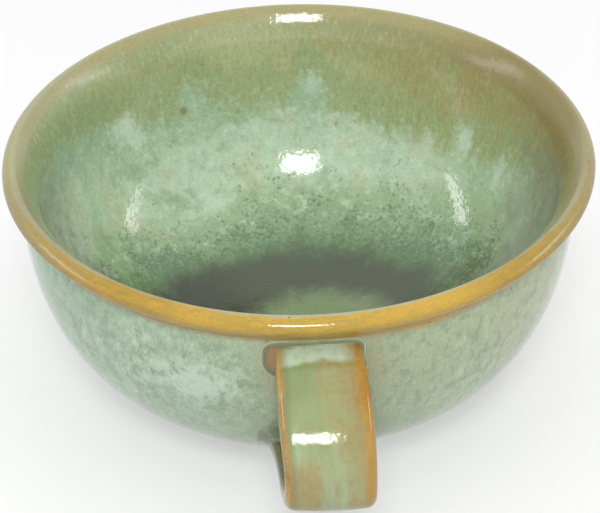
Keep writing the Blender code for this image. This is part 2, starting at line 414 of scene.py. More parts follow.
@dataclass(frozen=True)
class BellyCurve:
    """Superellipse between neck and pole, with one exponent for radius and one for depth."""

    neck: float
    pole: float
    fullness: float
    droop: float

    def radius(self, depth: Array) -> Array:
        """Radius at a depth: neck * (1 - (depth / pole)^droop)^(1 / fullness)."""
        share = 1 - np.minimum(depth / self.pole, 1.0) ** self.droop
        return self.neck * share ** (1 / self.fullness)

    def depths(self, first: float, last: float, count: int) -> Array:
        """Depths at even turns of the curve, with depth = pole * sin(turn)^(2 / droop)."""
        power = self.droop / 2
        ends = np.arcsin(np.minimum(np.array([first, last]) / self.pole, 1.0) ** power)
        return self.pole * np.sin(np.linspace(ends[0], ends[1], count)) ** (1 / power)


@dataclass(frozen=True)
class Outline:
    """Turned outline of the bowl as rows of radius and height, with the run of each row."""

    radius: Array
    height: Array
    run: Array


@dataclass(frozen=True)
class BowlShape:
    """Sizes of the turned bowl, which its outline follows from."""

    rim_radius: float
    height: float
    axis_y: float
    lip_flare: float = 0.0035
    lip_half: float = 0.0029
    lip_crown: float = 0.0023
    lip_drop: float = 0.0050
    bell_drop: float = 0.0090
    bell_powers: tuple[float, float] = (1.04, 2.05)
    crown_run: float = 0.0006
    lip_closer: float = 3.0
    lip_reach: float = 0.008
    outer_powers: tuple[float, float] = (3.25, 2.93)
    inner_powers: tuple[float, float] = (2.60, 2.50)
    wall: float = 0.0038
    floor: float = 0.0040
    base_rise: float = 0.0035
    pole_rise: float = 0.0023
    side_lean: float = math.radians(0.9)
    front_dip: float = 0.0008
    lean_fade: float = 0.045

    @classmethod
    def from_frame(cls) -> "BowlShape":
        """Shape whose rim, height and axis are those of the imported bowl."""
        low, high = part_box("bowl_body")
        return cls((high.x - low.x) / 2, high.z, (low.y + high.y) / 2)

    @property
    def outside(self) -> BellyCurve:
        """Belly curve of the outside."""
        neck = self.rim_radius - self.lip_flare
        return BellyCurve(neck, self.height - self.pole_rise, *self.outer_powers)

    @property
    def inside(self) -> BellyCurve:
        """Belly curve of the inside, which thickens the wall towards the floor."""
        neck = self.rim_radius - self.lip_flare - self.wall
        return BellyCurve(neck, self.height - self.base_rise - self.floor, *self.inner_powers)

    def outer_radius(self, depth: Array) -> Array:
        """Radius of the outside at a depth: the belly curve and the turned lip.

        The lip adds flare * (1 - t)^2 * (1 + 2t), with t the share of its drop below the crown.

        Args:
            depth: Depths below the crown of the lip.

        Returns:
            Radii of the shape of depth.
        """
        t = np.clip((depth - self.lip_crown) / self.lip_drop, 0.0, 1.0)
        return self.outside.radius(depth) + self.lip_flare * (1 - t) ** 2 * (1 + 2 * t)

    def _bell(self, samples: int) -> tuple[Array, Array]:
        """Radius and depth of the lip's inner slope, from the wall up to the crown.

        The slope is a superellipse with one power for each axis: its share of the radius left to the crown
        is 1 - sin(u)^(2 / first) and its depth is drop * (1 - cos(u)^(2 / second)), with u falling from a
        right angle to 0.

        Args:
            samples: Number of points.

        Returns:
            Radii and depths.
        """
        u = np.linspace(math.pi / 2, 0.0, samples)
        first, second = self.bell_powers
        depth = self.bell_drop * (1 - np.maximum(np.cos(u), 0.0) ** (2 / second))
        reach = self.rim_radius - self.lip_half - self.inside.neck
        return self.inside.radius(depth) + reach * (1 - np.sin(u) ** (2 / first)), depth

    def outline(self, rows: int, samples: int = 1500) -> Outline:
        """Outline from the middle of the floor, over the lip, to the middle of the base.

        The inside and the outside are read at even turns of their belly curves, the lip is a bell inside and
        a quarter ellipse outside, and the base is flat. The rows are then spaced along the outline with a
        density of 1 + closer * exp(-(run / reach)^2), which draws them together at the lip.

        Args:
            rows: Number of rows.
            samples: Points of each stretch before the rows are spaced.

        Returns:
            The spaced outline.
        """
        inside = self.inside.depths(self.bell_drop, self.inside.pole, samples)[::-1]
        outside = self.outside.depths(self.lip_crown, self.height - self.base_rise, samples)
        bell_radius, bell_depth = self._bell(samples)
        angle = np.linspace(0.0, math.pi / 2, samples)[1:-1]
        crown_radius = self.rim_radius - self.lip_half * (1 - np.sin(angle))
        radius = np.concatenate([
            self.inside.radius(inside[:-1]), bell_radius, crown_radius, self.outer_radius(outside), [0.0],
        ])
        depth = np.concatenate([
            inside[:-1], bell_depth, self.lip_crown * (1 - np.cos(angle)), outside,
            [self.height - self.base_rise],
        ])
        radius[0] = 0.0
        run = running_length(np.stack([radius, depth], -1))
        run -= run[2 * samples - 2] + self.crown_run
        weight = 1 + self.lip_closer * np.exp(-((run / self.lip_reach) ** 2))
        pace = np.concatenate([[0.0], np.cumsum(np.diff(run) * (weight[1:] + weight[:-1]) / 2)])
        spaced = np.interp(np.linspace(0.0, pace[-1], rows), pace, run)
        return Outline(np.interp(spaced, run, radius), self.height - np.interp(spaced, run, depth), spaced)

    def turn(self, outline: Outline, azimuth: Array) -> Array:
        """Grid of places on the turned bowl, with the lean of its hand-made rim.

        The lean adds x * tan(side lean) - dip * front to the height, with front rising from 0 at the back to
        1 at the handle, and fades out below the rim.

        Args:
            outline: Rows of the outline.
            azimuth: Columns of the grid.

        Returns:
            Places of shape (rows, columns, 3).
        """
        points = revolve(outline.radius, outline.height, azimuth, self.axis_y)
        x, y, z = np.moveaxis(points, -1, 0)
        fade = smoothstep(z, self.height - self.lean_fade, self.height)
        front = (1 - (y - self.axis_y) / self.rim_radius) / 2
        points[..., 2] += (x * math.tan(self.side_lean) - self.front_dip * front) * fade
        return points

    def on_wall(self, across: Array, depth: Array, off: Array) -> Array:
        """Places about the front of the wall.

        A place is the wall's point at the azimuth across / radius and at the depth, moved off along the
        wall's normal, whose parts are (1, r') / sqrt(1 + r'^2) outwards and upwards, with r' the radius's
        slope.

        Args:
            across: Distance to +X round the wall from its front.
            depth: Depth on the wall.
            off: Distance out from the wall.

        Returns:
            Places with a last axis of 3.
        """
        step = 1e-5
        radius = self.outer_radius(depth)
        slope = (self.outer_radius(depth + step) - self.outer_radius(depth - step)) / (2 * step)
        square = np.sqrt(1 + slope ** 2)
        reach = radius + off / square
        turn = across / radius
        height = self.height - depth + off * slope / square
        return np.stack([reach * np.sin(turn), self.axis_y - reach * np.cos(turn), height], -1)


@dataclass(frozen=True)
class Patch:
    """Soft oval place on the wall: middle and half size, as an azimuth in degrees and a fall in metres."""

    azimuth: float
    fall: float
    half_turn: float
    half_fall: float
    strength: float = 1.0

    def weight(self, azimuth: Array, fall: Array) -> Array:
        """Weight on the wall: strength * exp(-(turn / half turn)^2 - (drop / half fall)^2).

        Args:
            azimuth: Azimuths in degrees.
            fall: Falls down one side of the wall.

        Returns:
            Weights from 0 to the strength.
        """
        turn = (azimuth - self.azimuth + 180.0) % 360.0 - 180.0
        drop = fall - self.fall
        return self.strength * np.exp(-((turn / self.half_turn) ** 2) - (drop / self.half_fall) ** 2)


def weigh(patches: tuple[Patch, ...], azimuth: Array, fall: Array) -> Array:
    """Sum of the weights of patches at azimuths in degrees and at falls."""
    return sum(patch.weight(azimuth, fall) for patch in patches)


@dataclass(frozen=True)
class Finish(ABC):
    """Procedural finish, under the name of its material."""

    name: str

    @abstractmethod
    def material(self) -> bpy.types.Material:
        """Make the material of the finish."""


@dataclass(frozen=True)
class SageGlaze(Finish):
    """Crystalline sage glaze of the bowl: amber lip, an olive curtain inside, dark where it pooled.

    Sizes of patterns and limits of runs are in metres. The painted amber is a share of the way from the back
    to the handle, the painted warm one from left to right, and shares of colours run from 0 to 1.
    """

    curtain_cool: Colour = srgb(160, 174, 128)
    curtain_warm: Colour = srgb(160, 158, 104)
    curtain_pale: Colour = srgb(186, 194, 148)
    # Painted shade for the inner slope under the lip.
    painted_slope_shade: Colour = srgb(208, 209, 206)
    curtain_green: Colour = srgb(148, 168, 122)
    brown: Colour = srgb(160, 134, 80)
    mint: Colour = srgb(158, 184, 150)
    pale_sage: Colour = srgb(178, 202, 170)
    cream: Colour = srgb(186, 190, 156)
    crystal: Colour = srgb(196, 216, 194)
    sage: Colour = srgb(152, 178, 139)
    mid_sage: Colour = srgb(138, 165, 127)
    deep_sage: Colour = srgb(122, 150, 113)
    dusk: Colour = srgb(98, 120, 90)
    slate: Colour = srgb(80, 88, 72)
    deep_slate: Colour = srgb(64, 70, 56)
    shaded_side_sage: Colour = srgb(150, 172, 136)
    pool: Colour = srgb(126, 143, 108)
    speck: Colour = srgb(92, 116, 78)
    amber: Colour = srgb(192, 154, 54)
    olive_amber: Colour = srgb(172, 144, 62)
    gold: Colour = srgb(201, 161, 64)
    burnt_amber: Colour = srgb(168, 116, 42)
    lip_cream: Colour = srgb(176, 170, 140)
    lip_olive: Colour = srgb(162, 152, 104)
    lip_brown: Colour = srgb(128, 114, 64)
    halo: Colour = srgb(172, 156, 114)
    outer_cool: Colour = srgb(158, 186, 160)
    outer_warm: Colour = srgb(181, 188, 147)
    # Painted light for the lower outside.
    painted_low_light: Colour = srgb(182, 208, 180)
    outer_shade: Colour = srgb(142, 166, 138)
    rust: Colour = srgb(138, 118, 76)
    iron: Colour = srgb(104, 76, 40)
    # Painted shade for the sides of the inside, towards the handle.
    painted_side_shade: Colour = srgb(224, 205, 221)
    # Painted shade for the sides of the lip.
    painted_lip_shade: Colour = srgb(236, 233, 230)
    total_fall: float = 0.0928
    speck_pitches: tuple[float, float] = (0.00075, 0.0012)
    speck_radius: float = 0.40
    fine_grain: Grain = Grain(0.0017, 4.0, 0.62)
    haze_grain: Grain = Grain(0.007, 5.0, 0.62)
    pore_grain: Grain = Grain(0.0005, 3.0, 0.6)
    peel_grain: Grain = Grain(0.0013, 1.0)
    swell_grain: Grain = Grain(0.006, 1.0)
    streak_grain: Grain = Grain(0.0030, 3.0, 0.6, 0.2)
    cloud_grain: Grain = Grain(0.010, 3.0, 0.55)
    thread_grain: Grain = Grain(0.0009, 4.0, 0.68, 0.45)
    drift_grain: Grain = Grain(0.012, 3.0, 0.5, 1.0)
    mottle_grain: Grain = Grain(0.0028, 5.0, 0.66)
    crowd_grain: Grain = Grain(0.008, 4.0, 0.62)
    clot_grain: Grain = Grain(0.0011, 3.0, 0.62)
    outer_grain: Grain = Grain(0.0023, 6.0, 0.70, 0.7)
    outer_cloud_grain: Grain = Grain(0.009, 3.0)
    outer_thread_grain: Grain = Grain(0.0008, 3.0, 0.6, 0.45)
    ripple_grain: Grain = Grain(0.007, 3.0)
    lip_grain: Grain = Grain(0.0032, 4.0, 0.62, 3.0)
    roughness: float = 0.11
    lip_roughness: float = 0.25
    relief: float = 0.000045

    def material(self) -> bpy.types.Material:
        """Glaze of the bowl, from its painted runs and masks.

        Returns:
            The finished material.
        """
        graph = GlazeGraph(self.name)
        run, front = graph.read("run"), graph.read("amber")
        fine = graph.noise(self.fine_grain)
        coat = Coat(graph, self._inside(graph, fine))
        # Painted shade: the inside is darkened towards its sides and the handle, from 3 mm down on the right
        # and 13 mm down on the left, fading out above the floor.
        painted_shade_turn = graph.band(graph.sway(front, (graph.noise(self.haze_grain), 0.40)), 0.29, 0.53)
        below = graph.math("MULTIPLY_ADD", graph.read("warm"), -0.010, run)
        deep = graph.times(graph.band(below, -0.013, -0.018), graph.band(run, -0.058, -0.050))
        coat.shade(self.painted_side_shade, painted_shade_turn, deep)
        coat.tint(self._outside(graph), graph.band(run, -0.0008, 0.0008))
        self._lip(graph, coat)
        # Painted shade: the lip, from 3 mm inside to 8.5 mm down its outside, is darkened on both sides
        # towards the handle.
        painted_shade_flanks = graph.times(graph.band(front, 0.50, 0.64), graph.band(front, 0.97, 0.90))
        coat.shade(self.painted_lip_shade, painted_shade_flanks, graph.window(run, -0.003, 0.0085, 0.001))
        coat.shade(self.outer_shade, graph.band(graph.noise(self.pore_grain), 0.62, 0.38), 0.16)
        peel = graph.sway(graph.noise(self.peel_grain), (graph.noise(self.swell_grain), 2.0))
        sides = graph.times(graph.band(front, 0.05, 0.12), graph.band(front, 0.92, 0.82))
        crown = graph.times(sides, graph.window(run, -0.011, 0.0045, 0.001))
        rough_lip_and_sheen_share = graph.math("MAXIMUM", crown, graph.window(run, 0.0055, 0.0105, 0.0015))
        rough = graph.between(rough_lip_and_sheen_share, self.roughness, self.lip_roughness)
        return graph.finish(coat.colour, rough, peel, self.relief)

    def _inside(self, graph: GlazeGraph, fine: Socket) -> Layer:
        """Colour of the inside: an olive curtain over a pale belly that darkens in specks to the floor.

        Args:
            graph: Graph of the material.
            fine: Fine crystal pattern.

        Returns:
            Colour of the inside.
        """
        streak = graph.noise(self.streak_grain)
        clouds = graph.noise(self.cloud_grain)
        edge = graph.sway(graph.read("curtain"), (streak, 0.014), (fine, 0.005), (clouds, 0.008))
        coat = Coat(graph, graph.mix(self.curtain_cool, self.curtain_warm, graph.read("warm")))
        pale = graph.sway(graph.read("pale"), (clouds, 1.2))
        coat.tint(self.curtain_pale, graph.band(pale, -0.1, 0.9), 0.8)
        flecked = graph.band(graph.sway(clouds, (fine, 0.5)), 0.42, 0.62)
        coat.tint(self.brown, graph.read("brown"), flecked, 0.45)
        # Painted shade: the upturned slope inside the lip is darkened, fully above 4.5 mm down and fading
        # out by 11.5 mm.
        coat.shade(self.painted_slope_shade, graph.band(graph.read("run"), -0.0115, -0.0045), 0.66)
        coat.tint(self.curtain_green, graph.window(edge, -0.0075, -0.0015, 0.004), 0.6)
        coat.tint(self.curtain_green, graph.band(streak, 0.5, 0.7), 0.25)
        thread = graph.noise(self.thread_grain)
        coat.tint(self.brown, graph.band(thread, 0.50, 0.66), 0.38)
        coat.tint(self.curtain_pale, graph.band(thread, 0.48, 0.34), 0.35)
        coat.tint(self._belly(graph, fine, clouds), graph.band(edge, -0.0036, 0.0036))
        bloom = graph.sway(graph.read("bloom"), (fine, 0.9), (streak, 0.9))
        coat.tint(self.crystal, graph.band(bloom, 0.25, 0.95), 0.85)
        fringe = graph.window(edge, -0.001, 0.006, 0.006)
        coat.tint(self.crystal, fringe, graph.band(fine, 0.5, 0.66), 0.30)
        coat.tint(self.rust, graph.band(graph.sway(graph.read("spot"), (fine, 0.8)), 0.3, 0.9), 0.8)
        return coat.colour

    def _belly(self, graph: GlazeGraph, fine: Socket, clouds: Socket) -> Layer:
        """Colour of the inside below the curtain: pale, clouded with cream, specked and dark to the floor.

        The share of specks grows from the belly to the floor, so that they close up into the dark ring round
        the pool.

        Args:
            graph: Graph of the material.
            fine: Fine crystal pattern.
            clouds: Broad cloud pattern.

        Returns:
            Colour of the belly and the floor.
        """
        drift = graph.noise(self.drift_grain)
        fall, warm = graph.read("fall"), graph.read("warm")
        level = graph.sway(fall, (drift, 0.010), (fine, 0.007))
        stops = [
            (0.0260, self.mint), (0.0345, self.pale_sage), (0.0430, self.pale_sage), (0.0485, self.sage),
            (0.0535, self.mid_sage), (0.0590, self.deep_sage), (0.0630, self.dusk), (0.0665, self.slate),
        ]
        share = graph.math("DIVIDE", level, self.total_fall)
        coat = Coat(graph, graph.ramp(share, [(stop / self.total_fall, colour) for stop, colour in stops]))
        pale = graph.window(level, 0.030, 0.047, 0.006)
        coat.tint(self.cream, graph.band(clouds, 0.48, 0.66), pale, 0.55)
        coat.tint(self.mid_sage, graph.band(clouds, 0.46, 0.3), pale, 0.6)
        mottle = graph.noise(self.mottle_grain)
        clear = graph.window(level, 0.027, 0.052, 0.008)
        coat.tint(self.crystal, graph.band(mottle, 0.50, 0.66), clear, 0.5)
        coat.tint(self.deep_sage, graph.band(mottle, 0.48, 0.34), clear, 0.42)
        # Painted shade: the pale belly is darkened to a greyer sage away from the back, more on the right.
        sides = graph.band(graph.read("amber"), 0.08, 0.30)
        coat.tint(self.shaded_side_sage, sides, pale, graph.math("MULTIPLY_ADD", warm, 0.5, 0.12))
        crowd = graph.band(graph.sway(fall, (graph.noise(self.crowd_grain), 0.050)), 0.0405, 0.063)
        jitter = graph.ruffle(0.0012, 0.0008)
        for pitch in self.speck_pitches:
            dots = graph.specks(jitter, pitch, self.speck_radius * pitch, crowd)
            coat.tint(self.speck, dots, 0.5)
        clots = graph.math("MULTIPLY_ADD", crowd, 0.34, graph.noise(self.clot_grain, jitter))
        coat.tint(self.speck, graph.band(clots, 0.76, 0.84), 0.5)
        slate = graph.mix(self.slate, self.deep_slate, graph.band(warm, 0.30, 0.02))
        coat.tint(slate, graph.band(level, 0.0605, 0.0690))
        puddle = graph.sway(graph.read("pool"), (drift, 0.005), (fine, 0.004))
        coat.tint(self.pool, graph.band(puddle, -0.0050, 0.0036))
        return coat.colour

    def _outside(self, graph: GlazeGraph) -> Layer:
        """Colour of the outside: soft sage with clouds of pale crystals, brown where it is thin.

        Args:
            graph: Graph of the material.

        Returns:
            Colour of the outside.
        """
        mottle = graph.noise(self.outer_grain)
        coat = Coat(graph, graph.mix(self.outer_cool, self.outer_warm, graph.read("warm")))
        coat.tint(self.outer_shade, graph.band(mottle, 0.52, 0.38), 0.8)
        cloud = graph.sway(graph.read("cloud"), (graph.noise(self.outer_cloud_grain), 1.2), (mottle, 3.0))
        coat.tint(self.crystal, graph.band(cloud, 0.1, 1.1), 0.9)
        # Painted light: the outside 16 to 42 mm down is lightened towards the handle.
        low = graph.times(graph.band(graph.read("run"), 0.016, 0.042), graph.read("amber"))
        coat.tint(self.painted_low_light, graph.band(low, 0.4, 1.0), 0.35)
        thread = graph.noise(self.outer_thread_grain)
        coat.tint(self.crystal, graph.band(cloud, -0.3, 0.7), graph.band(thread, 0.52, 0.64), 0.55)
        coat.tint(self.halo, graph.read("seat"), graph.band(mottle, 0.3, 0.6), 0.8)
        coat.tint(self.rust, graph.read("root"), graph.band(mottle, 0.25, 0.6), 0.65)
        return coat.colour

    def _lip(self, graph: GlazeGraph, coat: Coat) -> None:
        """Lay the lip: cream on its inner slope, amber on its crown, burnt along its outer edge.

        Args:
            graph: Graph of the material.
            coat: Coat of the walls, which the lip is laid over.
        """
        ripple = graph.noise(self.ripple_grain)
        line = graph.sway(graph.read("lip"), (ripple, 0.0016))
        front, warm = graph.read("amber"), graph.read("warm")
        soft = graph.times(graph.window(line, -0.0041, 0.0, 0.0019), graph.band(front, 0.40, 0.20))
        crisp = graph.times(graph.window(line, -0.0046, 0.0, 0.0006), graph.band(front, 0.20, 0.40))
        cream = graph.mix(self.lip_olive, self.lip_cream, front)
        coat.tint(cream, graph.math("ADD", soft, crisp), 0.75)
        shade = graph.times(graph.window(line, -0.0072, -0.0010, 0.0040), graph.read("brown"))
        coat.tint(self.lip_brown, shade, graph.band(warm, 0.60, 0.95), 0.82)
        sunny = graph.times(graph.band(warm, 0.5, 0.7), graph.band(front, 0.88, 0.95))
        low = graph.sway(graph.read("run"), (ripple, 0.0016))
        low = graph.math("MULTIPLY_ADD", sunny, -0.0008, low)
        coat.tint(self.halo, graph.window(low, 0.0086, 0.0096, 0.0010), 0.55)
        streak = graph.noise(self.lip_grain)
        amber = Coat(graph, graph.mix(self.amber, self.olive_amber, graph.band(streak, 0.36, 0.64)))
        amber.tint(self.gold, graph.band(line, 0.0030, 0.0058), 0.7)
        amber.tint(self.burnt_amber, graph.band(graph.sway(low, (streak, 0.0026)), 0.0066, 0.0088), 0.45)
        amber.tint(self.gold, sunny, 0.6)
        dull = graph.mix(self.lip_olive, self.lip_brown, graph.band(low, 0.0030, 0.0060))
        amber.tint(dull, graph.band(front, 0.92, 0.62), 0.85)
        broken = graph.times(graph.band(line, -0.0014, -0.0006), graph.band(low, 0.0096, 0.0086))
        coat.tint(amber.colour, broken, graph.band(front, -0.1, 0.75))
        spots = graph.specks(graph.ruffle(0.001, 0.0005), 0.0036, 0.00026, 0.4)
        coat.tint(self.iron, spots, graph.window(line, -0.001, 0.0095, 0.001))


@dataclass(frozen=True)
class StrapGlaze(Finish):
    """Sage glaze of the strap, broken to amber along its edges and streaked with tan."""

    sage: Colour = srgb(158, 172, 130)
    olive: Colour = srgb(136, 152, 104)
    # Dark olive for a thin line inside the left edge and for the painted shade on the lower arm.
    dark: Colour = srgb(98, 102, 70)
    tan: Colour = srgb(158, 144, 92)
    rust: Colour = srgb(138, 116, 70)
    amber: Colour = srgb(172, 132, 54)
    burnt: Colour = srgb(160, 106, 28)
    pale_amber: Colour = srgb(186, 164, 108)
    # Pale mint of the painted reflection on the strap's top.
    mint: Colour = srgb(182, 202, 180)
    seared: Colour = srgb(158, 112, 14)
    mint_green: Colour = srgb(160, 182, 146)
    deep_olive: Colour = srgb(118, 138, 90)
    streak_grain: Grain = Grain(0.0034, 4.0, 0.62, 0.16)
    thread_grain: Grain = Grain(0.0010, 3.0, 0.65, 0.25)
    fine_grain: Grain = Grain(0.0012, 4.0, 0.66)
    blot_grain: Grain = Grain(0.006, 3.0)
    peel_grain: Grain = Grain(0.0011, 2.0)
    swell_grain: Grain = Grain(0.005, 1.0)
    roughness: float = 0.11
    relief: float = 0.000040

    def material(self) -> bpy.types.Material:
        """Glaze of the strap, from its painted places.

        Returns:
            The finished material.
        """
        graph = GlazeGraph(self.name)
        across, along = graph.read("across"), graph.read("along")
        streak = graph.noise(self.streak_grain)
        fine = graph.noise(self.fine_grain)
        blot = graph.noise(self.blot_grain)
        left = graph.band(across, 0.1, -0.5)
        lower = graph.band(graph.sway(along, (streak, 0.6)), 0.22, 0.5)
        coat = Coat(graph, graph.mix(self.olive, self.sage, graph.sway(lower, (fine, 0.9))))
        low_left = graph.times(graph.band(along, 0.34, 0.44), left)
        side = graph.math("MULTIPLY_ADD", low_left, 1.35, across)
        side = graph.sway(side, (streak, 1.2), (fine, 1.6), (blot, 1.0))
        coat.tint(self.tan, graph.band(side, -0.45, 0.95), 0.9)
        fresh = graph.times(graph.window(along, 0.46, 0.60, 0.10), graph.window(across, -0.12, 0.22, 0.22))
        coat.tint(self.mint_green, fresh, graph.band(graph.sway(streak, (fine, 0.6)), 0.25, 0.65), 0.9)
        coat.tint(self.deep_olive, graph.window(along, 0.13, 0.19, 0.07), left, 0.6)
        ragged = graph.sway(across, (fine, 1.2), (streak, 0.8))
        coat.tint(self.rust, graph.window(along, 0.13, 0.34, 0.07), graph.band(ragged, 0.0, 0.7), 0.5)
        mottle = graph.sway(graph.noise(self.thread_grain), (fine, 1.0), (blot, 0.8))
        coat.tint(self.rust, graph.band(mottle, 0.30, 0.90), 0.35)
        self._edges(graph, coat, across, graph.sway(fine, (streak, 1.0), (blot, 1.0)))
        right = graph.sway(across, (fine, 0.7), (streak, 0.5))
        seared = graph.times(graph.window(along, 0.19, 0.23, 0.10), graph.window(right, 0.84, 0.96, 0.30))
        coat.tint(self.seared, seared, 0.9)
        # Painted reflection: a pale mint sheen across the strap's top bend, 5 to 9 % along it, broken up by
        # noise.
        painted_sheen_crest = graph.window(graph.sway(along, (blot, 0.05), (fine, 0.02)), 0.054, 0.094, 0.024)
        middle = graph.band(graph.math("ABSOLUTE", graph.math("ADD", across, 0.08)), 0.92, 0.55)
        rough_lip_and_sheen_share = graph.band(graph.sway(streak, (fine, 1.0)), 0.0, 0.65)
        coat.tint(self.mint, painted_sheen_crest, middle, rough_lip_and_sheen_share, 0.92)
        # Painted shade: the strap's lower arm darkens from 56 % along it and stays dark to the lower root.
        coat.tint(self.dark, graph.band(along, 0.56, 0.68), 0.85)
        peel = graph.sway(graph.noise(self.peel_grain), (graph.noise(self.swell_grain), 1.2))
        return graph.finish(coat.colour, self.roughness, peel, self.relief)

    def _edges(self, graph: GlazeGraph, coat: Coat, across: Socket, wander: Socket) -> None:
        """Lay amber where the glaze ran thin over the strap's edges, paler on the edge itself.

        Args:
            graph: Graph of the material.
            coat: Coat of the strap's faces.
            across: Place across the strap, -1 to 1.
            wander: Pattern that moves the amber's border.
        """
        edge = graph.math("MULTIPLY_ADD", graph.band(across, 0.2, -0.6), 0.0006, graph.read("rim"))
        edge = graph.sway(edge, (wander, 0.0016))
        coat.tint(self.dark, graph.window(edge, 0.0017, 0.0021, 0.0014), graph.band(across, 0.3, -0.5), 0.4)
        amber = graph.mix(self.amber, self.burnt, graph.band(wander, 0.45, 0.75))
        coat.tint(amber, graph.band(edge, 0.0024, 0.0008), 0.92)
        coat.tint(self.pale_amber, graph.band(edge, 0.0012, 0.0002), graph.band(across, 1.4, -0.8), 0.65)


@dataclass(frozen=True)
class CollarGlaze(Finish):
    """Glaze over a slip collar: pale on its outer bead, dark green where it pooled, brown at the strap."""

    # Pale of the bead: partly pale glaze, partly a painted highlight.
    bead: Colour = srgb(176, 186, 160)
    pooled: Colour = srgb(126, 138, 106)
    crease: Colour = srgb(104, 108, 76)
    brown: Colour = srgb(152, 118, 74)
    wall: Colour = srgb(152, 164, 132)
    wander_grain: Grain = Grain(0.0030, 3.0)
    mottle_grain: Grain = Grain(0.0010, 3.0, 0.6)
    peel_grain: Grain = Grain(0.0011, 2.0)
    roughness: float = 0.12
    relief: float = 0.00004

    def material(self) -> bpy.types.Material:
        """Glaze of a collar, from its painted inset, the distance from its outer edge.

        Returns:
            The finished material.
        """
        graph = GlazeGraph(self.name)
        inset = graph.sway(graph.read("inset"), (graph.noise(self.wander_grain), 0.0004))
        mottled = graph.sway(inset, (graph.noise(self.mottle_grain), 0.0016))
        coat = Coat(graph, self.pooled)
        coat.tint(self.crease, graph.band(inset, 0.0006, 0.0011))
        coat.tint(self.brown, graph.band(mottled, 0.0008, 0.0020))
        # The pale bead is partly pale glaze and partly a painted highlight along its ridge.
        coat.tint(self.bead, graph.band(inset, 0.0006, 0.0004))
        coat.tint(self.wall, graph.band(inset, 0.0003, 0.0001))
        return graph.finish(coat.colour, self.roughness, graph.noise(self.peel_grain), self.relief)


@dataclass(frozen=True)
class BareClay(Finish):
    """Unglazed stoneware: buff clay with fine grog, toasted where the glaze ends."""

    clay: Colour = srgb(188, 160, 124)
    toasted: Colour = srgb(160, 116, 76)
    grog: Colour = srgb(118, 88, 62)
    glaze: Colour = srgb(150, 164, 130)
    clay_grain: Grain = Grain(0.0007, 4.0, 0.65)
    wander_grain: Grain = Grain(0.006, 3.0)
    roughness: float = 0.78
    glaze_roughness: float = 0.2
    relief: float = 0.00006

    def material(self) -> bpy.types.Material:
        """Clay of the foot, with a glaze line below its seat.

        Returns:
            The finished material.
        """
        graph = GlazeGraph(self.name)
        grain = graph.noise(self.clay_grain)
        line = graph.sway(graph.read("height"), (graph.noise(self.wander_grain), 0.0018))
        glazed = graph.band(line, 0.0026, 0.0031)
        coat = Coat(graph, self.clay)
        coat.tint(self.toasted, graph.band(grain, 0.4, 0.65))
        coat.tint(self.toasted, graph.window(line, 0.0013, 0.0026, 0.0008))
        coat.tint(self.grog, graph.specks(graph.place, 0.0021, 0.0003, 0.4))
        coat.tint(self.glaze, glazed)
        rough = graph.between(glazed, self.roughness, self.glaze_roughness)
        return graph.finish(coat.colour, rough, grain, self.relief)


@dataclass
class Piece(ABC):
    """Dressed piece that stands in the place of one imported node."""

    name: str
    node: str
    slot: str
    finish: Finish

    @abstractmethod
    def build(self) -> bpy.types.Object:
        """Make the piece's surface and paint what its finish reads."""

    def make(self) -> None:
        """Build and dress the piece, and set it in its node's place."""
        piece = self.build()
        piece.data.materials.append(self.finish.material())
        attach(piece, BODY)
        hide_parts(self.node)
        LOG.info("%s in the place of %s: %d faces", self.name, self.node, len(piece.data.polygons))


